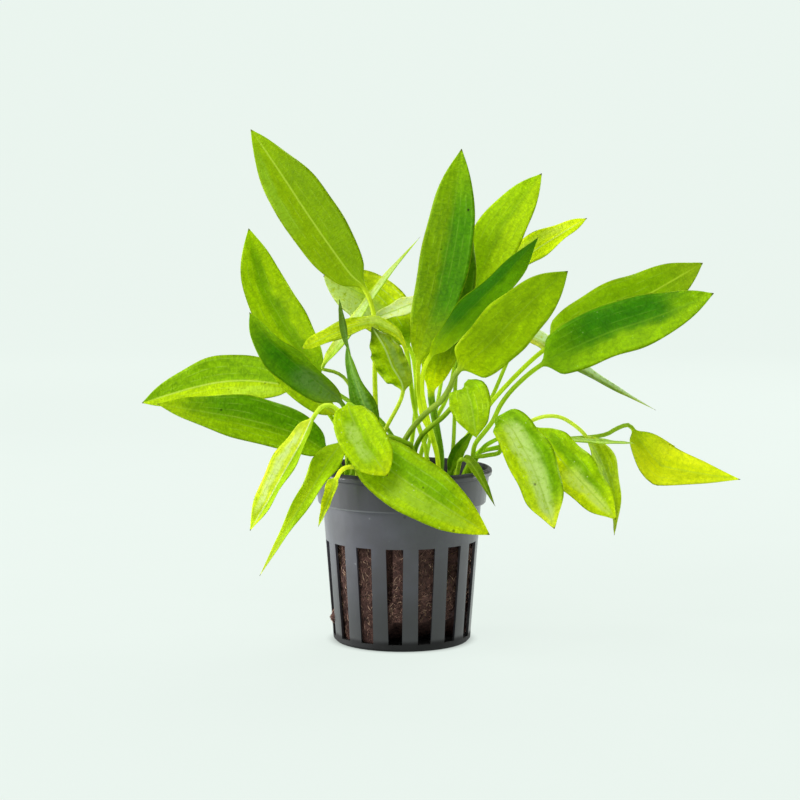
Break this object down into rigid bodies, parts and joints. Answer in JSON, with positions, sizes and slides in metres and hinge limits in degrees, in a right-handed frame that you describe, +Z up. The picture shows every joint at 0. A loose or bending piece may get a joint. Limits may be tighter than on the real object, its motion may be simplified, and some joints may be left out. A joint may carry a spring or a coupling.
{
  "type": "potted aquarium plant",
  "caption": "Sword plant with long-stalked, lance-shaped leaves spreading from a slotted net pot filled with fibrous growing medium.",
  "frame": {"origin": "middle of the pot's underside, where it stands", "axes": "+Z up, -Y the front that the picture shows, +X to its right"},
  "size_m": [0.1808, 0.0864, 0.1539],
  "materials": {
    "grey_plastic": "moulded blue-grey plastic, satin",
    "brown_fibre": "matted brown fibre, rough",
    "crown_green": "fresh green stem, satin",
    "leaf_green": "fresh leaf, satin, lets light through"
  },
  "bodies": {
    "root": {"crown_left": "crown_green", "crown_middle": "crown_green", "crown_right": "crown_green", "growing_medium": "brown_fibre", "leaf_arching_yellow": "leaf_green", "leaf_broad_back": "leaf_green", "leaf_broad_right": "leaf_green", "leaf_creased_right": "leaf_green", "leaf_curled": "leaf_green", "leaf_drooping_inner": "leaf_green", "leaf_drooping_middle": "leaf_green", "leaf_drooping_outer": "leaf_green", "leaf_far_left_lower": "leaf_green", "leaf_far_left_upper": "leaf_green", "leaf_far_right": "leaf_green", "leaf_front_collar": "leaf_green", "leaf_front_short": "leaf_green", "leaf_front_small": "leaf_green", "leaf_hanging_pale": "leaf_green", "leaf_hanging_strap": "leaf_green", "leaf_left_behind": "leaf_green", "leaf_left_folded": "leaf_green", "leaf_left_yellowing": "leaf_green", "leaf_level_slim": "leaf_green", "leaf_narrow_dark": "leaf_green", "leaf_over_rim": "leaf_green", "leaf_right_lower": "leaf_green", "leaf_right_slim": "leaf_green", "leaf_right_upper": "leaf_green", "leaf_rolled_small": "leaf_green", "leaf_streaked_back": "leaf_green", "leaf_strip_pale": "leaf_green", "leaf_tall_behind": "leaf_green", "leaf_tall_centre": "leaf_green", "leaf_tall_left": "leaf_green", "leaf_twisted": "leaf_green", "leaf_upright_right": "leaf_green", "leaf_young_right": "leaf_green", "net_pot": "grey_plastic"}
  },
  "joints": []
}
